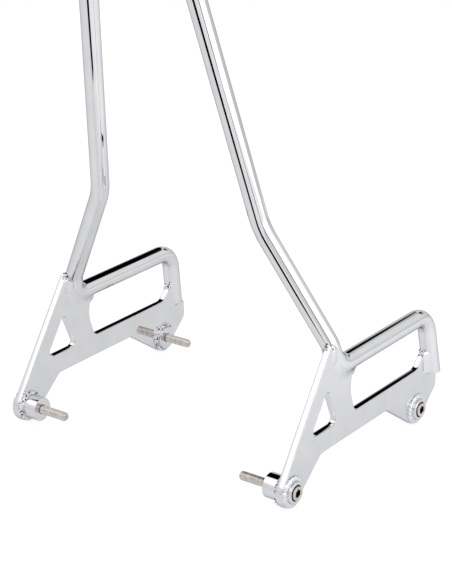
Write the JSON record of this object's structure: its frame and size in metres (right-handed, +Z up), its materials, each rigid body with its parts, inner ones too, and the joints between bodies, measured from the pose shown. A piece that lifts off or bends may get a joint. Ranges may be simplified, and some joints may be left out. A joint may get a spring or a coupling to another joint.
{
  "type": "sissy bar",
  "caption": "Chromed motorbike sissy bar: a bent round-bar hoop with grab loops, welded to side plates that bolt to the fender struts.",
  "frame": {"origin": "on the mid-plane, half way along the side plates, on the level that their round ends stand on", "axes": "+X to the bike's right side, +Y to the bike's front, +Z up"},
  "size_m": [0.3048, 0.2366, 0.4742],
  "materials": {
    "bar": "polished chrome plate on steel bar",
    "plate": "polished chrome plate on steel plate",
    "bush": "polished chrome plate on turned steel",
    "weld": "chrome plate over weld bead",
    "bolt": "satin stainless steel"
  },
  "bodies": {
    "root": {"hoop_rod": "bar", "right_side_plate": "plate", "left_side_plate": "plate", "right_rear_bush": "bush", "right_front_bush": "bush", "left_rear_bush": "bush", "left_front_bush": "bush", "right_rear_bolt": "bolt", "right_front_bolt": "bolt", "left_rear_bolt": "bolt", "left_front_bolt": "bolt", "right_rear_outer_weld": "weld", "right_front_outer_weld": "weld", "left_rear_outer_weld": "weld", "left_front_outer_weld": "weld", "right_rear_inner_weld": "weld", "right_front_inner_weld": "weld", "left_rear_inner_weld": "weld", "left_front_inner_weld": "weld", "right_junction_weld": "weld", "left_junction_weld": "weld", "right_leg_weld": "weld", "left_leg_weld": "weld"}
  },
  "joints": []
}
